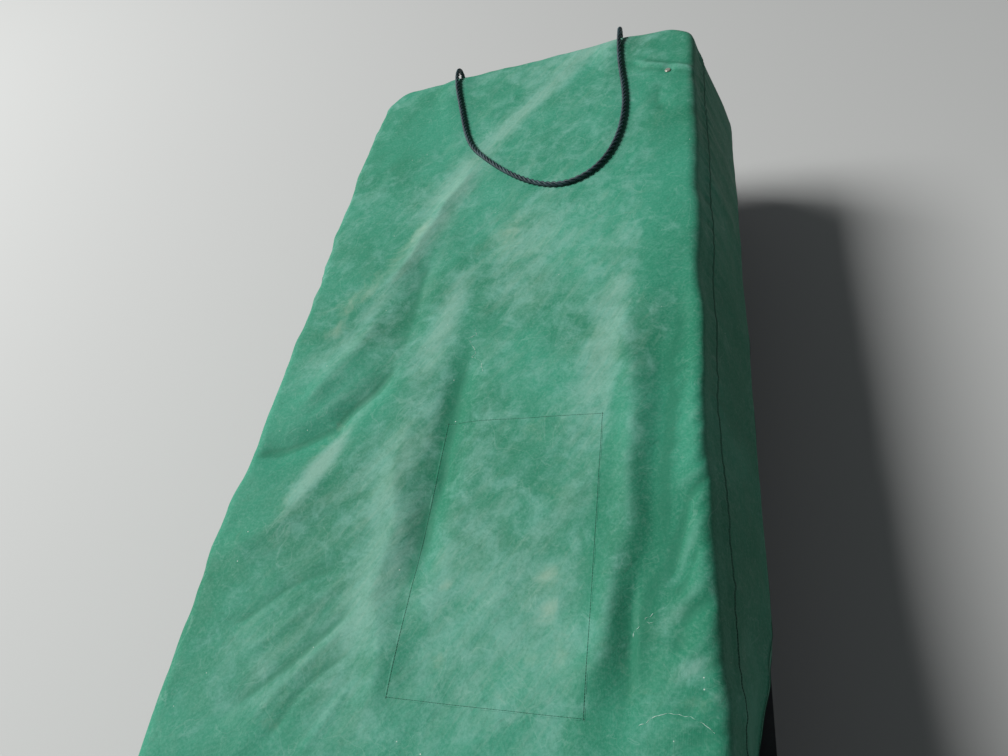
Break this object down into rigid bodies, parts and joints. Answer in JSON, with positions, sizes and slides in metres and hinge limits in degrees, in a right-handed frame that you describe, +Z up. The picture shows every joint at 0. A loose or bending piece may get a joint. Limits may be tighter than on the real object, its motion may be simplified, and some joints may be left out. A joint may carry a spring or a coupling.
{
  "type": "folded ice fishing hut in its tow sled",
  "caption": "Flip-over ice fishing shelter folded flat in its moulded tow sled, under a fitted fabric travel cover with a tow rope over the bow.",
  "frame": {"origin": "on the floor, under the middle of the sled", "axes": "+Z up, +Y towards the bow with the tow rope, +X to the right when looking at the bow from the stern"},
  "size_m": [1.0136, 2.191, 0.5931],
  "materials": {
    "sled_shell": "matte moulded polyethylene",
    "cover_cloth": "coated woven canvas, dusty",
    "snap_metal": "dull nickel",
    "pole_steel": "black powder coat",
    "rail_alloy": "mill finish",
    "bracket_steel": "black powder coat",
    "pin_steel": "zinc plated",
    "tent_cloth": "folded woven tent cloth",
    "rope_fibre": "laid polypropylene rope"
  },
  "bodies": {
    "root": {"back_rail": "pole_steel", "bow_cross_rail": "rail_alloy", "bow_hinge_bracket": "bracket_steel", "bow_hinge_pin": "pin_steel", "corner_snap": "snap_metal", "cover_bow": "cover_cloth", "cover_left": "cover_cloth", "cover_right": "cover_cloth", "cover_stern": "cover_cloth", "cover_top": "cover_cloth", "front_hoop_bow_arm": "pole_steel", "front_hoop_bow_elbow": "pole_steel", "front_hoop_bow_slide": "pole_steel", "front_hoop_crossbar": "pole_steel", "front_hoop_stern_arm": "pole_steel", "front_hoop_stern_elbow": "pole_steel", "front_hoop_stern_slide": "pole_steel", "left_rope_eyelet": "snap_metal", "left_rope_knot": "rope_fibre", "lower_tent_fold": "tent_cloth", "middle_hoop_bow_arm": "pole_steel", "middle_hoop_bow_elbow": "pole_steel", "middle_hoop_bow_slide": "pole_steel", "middle_hoop_crossbar": "pole_steel", "middle_hoop_stern_arm": "pole_steel", "middle_hoop_stern_elbow": "pole_steel", "middle_hoop_stern_slide": "pole_steel", "rear_hoop_bow_arm": "pole_steel", "rear_hoop_bow_elbow": "pole_steel", "rear_hoop_bow_slide": "pole_steel", "rear_hoop_crossbar": "pole_steel", "rear_hoop_stern_arm": "pole_steel", "rear_hoop_stern_elbow": "pole_steel", "rear_hoop_stern_slide": "pole_steel", "right_rope_eyelet": "snap_metal", "right_rope_knot": "rope_fibre", "sled_tub": "sled_shell", "stern_cross_rail": "rail_alloy", "stern_hinge_bracket": "bracket_steel", "stern_hinge_pin": "pin_steel", "top_patch": "cover_cloth", "tow_rope": "rope_fibre", "upper_tent_fold": "tent_cloth"}
  },
  "joints": []
}
